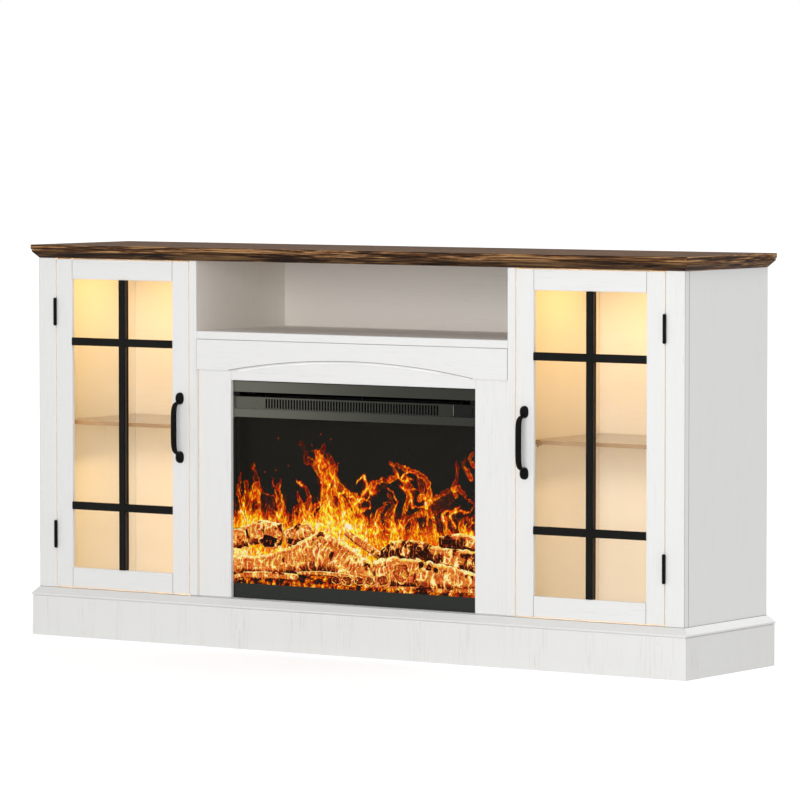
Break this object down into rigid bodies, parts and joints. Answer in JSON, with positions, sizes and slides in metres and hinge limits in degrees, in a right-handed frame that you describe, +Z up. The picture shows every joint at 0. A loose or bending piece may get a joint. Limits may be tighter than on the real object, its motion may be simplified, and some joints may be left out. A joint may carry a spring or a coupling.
{
  "type": "fireplace tv stand",
  "caption": "Long white media cabinet with a moulded walnut top, glazed side doors, an open niche and an electric fire in an arched surround.",
  "frame": {"origin": "on the floor, under the middle of the whole's bounding box", "axes": "+Z up, front with the doors and the fire towards -Y, +X to the right of someone facing it from behind the camera, along the cabinet's length"},
  "size_m": [1.593, 0.355, 0.813],
  "materials": {
    "white_board": "painted white with a fine embossed grain, satin",
    "walnut_board": "brown wood-grain laminate, satin",
    "raw_hardboard": "thin backing board, matt",
    "black_metal": "black, satin",
    "frame_metal": "dark grey-bronze, satin",
    "steel_sheet": "dark sheet steel, matt",
    "door_glass": "clear float glass",
    "fire_glass": "smoked glass, gloss",
    "black_plastic": "black, fine texture",
    "screen_plastic": "translucent flame screen, lit from behind",
    "ember_resin": "painted resin logs and embers, lit from within",
    "warm_lens": "warm white diffuser, lit",
    "bright_metal": "mill finish"
  },
  "bodies": {
    "cabinet": {"top_panel": "walnut_board", "top_moulding_front": "walnut_board", "top_moulding_left": "walnut_board", "top_moulding_right": "walnut_board", "top_moulding_back": "walnut_board", "skirting_front": "white_board", "skirting_left": "white_board", "skirting_right": "white_board", "skirting_back": "white_board", "side_panel_left": "white_board", "side_panel_right": "white_board", "front_post_left": "white_board", "front_post_right": "white_board", "partition_left": "white_board", "partition_right": "white_board", "pilaster_left": "white_board", "pilaster_right": "white_board", "floor_panel": "white_board", "niche_floor": "white_board", "arched_valance": "white_board", "fire_header": "white_board", "back_panel_left": "raw_hardboard", "back_panel_middle": "raw_hardboard", "back_panel_right": "raw_hardboard", "shelf_left": "door_glass", "shelf_right": "door_glass", "led_strip_left": "warm_lens", "led_strip_right": "warm_lens", "left_lower_hinge_post_leaf": "black_metal", "left_upper_hinge_post_leaf": "black_metal", "right_lower_hinge_post_leaf": "black_metal", "right_upper_hinge_post_leaf": "black_metal", "fire_frame": "frame_metal", "vent_grille": "frame_metal", "control_panel": "black_plastic", "fire_glass": "fire_glass", "fire_housing": "steel_sheet", "flame_screen": "screen_plastic", "log_set": "ember_resin"},
    "left_door": {"left_door_inner_stile": "white_board", "left_door_outer_stile": "white_board", "left_door_bottom_rail": "white_board", "left_door_top_rail": "white_board", "left_door_glass": "door_glass", "left_door_glazing_bars": "black_metal", "left_door_handle": "black_metal", "left_lower_hinge_door_leaf": "black_metal", "left_upper_hinge_door_leaf": "black_metal"},
    "right_door": {"right_door_inner_stile": "white_board", "right_door_outer_stile": "white_board", "right_door_bottom_rail": "white_board", "right_door_top_rail": "white_board", "right_door_glass": "door_glass", "right_door_glazing_bars": "black_metal", "right_door_handle": "black_metal", "right_lower_hinge_door_leaf": "black_metal", "right_upper_hinge_door_leaf": "black_metal"},
    "power_button": {"power_button": "black_plastic"},
    "flame_rotor": {"flame_rotor": "bright_metal"},
    "blower_wheel": {"blower_wheel": "bright_metal"}
  },
  "joints": [
    {"name": "left_door_hinge", "type": "hinge", "parent": "cabinet", "child": "left_door", "pos_m": [-0.7395, -0.15317, 0.44375], "axis": [0, 0, -1], "range_deg": [0, 170]},
    {"name": "right_door_hinge", "type": "hinge", "parent": "cabinet", "child": "right_door", "pos_m": [0.7395, -0.15317, 0.44375], "axis": [0, 0, 1], "range_deg": [0, 170]},
    {"name": "power_button_press", "type": "slide", "parent": "cabinet", "child": "power_button", "axis": [0, 1, 0], "range_m": [0, 0.0015], "stiffness_N_per_m": 600, "springref_m": -0.001},
    {"name": "flame_rotor_spin", "type": "hinge", "parent": "cabinet", "child": "flame_rotor", "pos_m": [0, -0.0469, 0.1638], "axis": [1, 0, 0], "continuous": true},
    {"name": "blower_wheel_spin", "type": "hinge", "parent": "cabinet", "child": "blower_wheel", "pos_m": [0, -0.0809, 0.50875], "axis": [1, 0, 0], "continuous": true}
  ]
}
